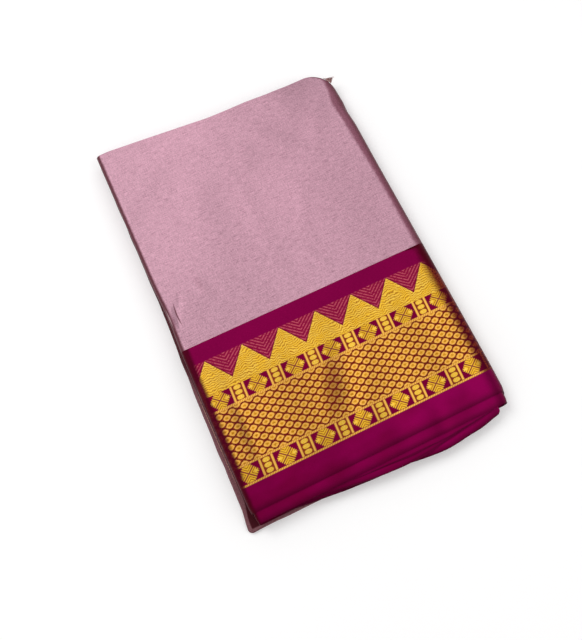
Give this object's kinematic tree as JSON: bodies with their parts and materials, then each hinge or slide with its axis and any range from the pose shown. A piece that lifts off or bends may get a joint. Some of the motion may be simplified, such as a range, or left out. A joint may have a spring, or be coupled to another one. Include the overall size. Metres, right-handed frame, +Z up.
{
  "type": "folded saree",
  "caption": "Silk saree folded into a flat oblong pack: plain lilac field, broad magenta border with woven gold temple points, lozenges and lattice, layered edges.",
  "frame": {"origin": "middle of the pack's footprint, on the surface that it lies on", "axes": "+X along the border towards the folded spine, +Y from the near selvedge to the far fold, +Z up"},
  "size_m": [0.2739, 0.4142, 0.0231],
  "materials": {
    "field_silk": "plain-woven lilac silk with a soft sheen, fine speckle and darker slubs along the border",
    "border_silk": "satin-like magenta silk with raised gold thread in temple points, lozenges, ovals and a lattice",
    "under_silk": "shot mauve silk of the lower folds, maroon where it turns away from the light"
  },
  "bodies": {
    "root": {"field_wrap": "field_silk", "border_wrap": "border_silk", "second_wrap": "border_silk", "inner_folds": "border_silk", "base_folds": "under_silk", "corner_fray": "under_silk"}
  },
  "joints": []
}
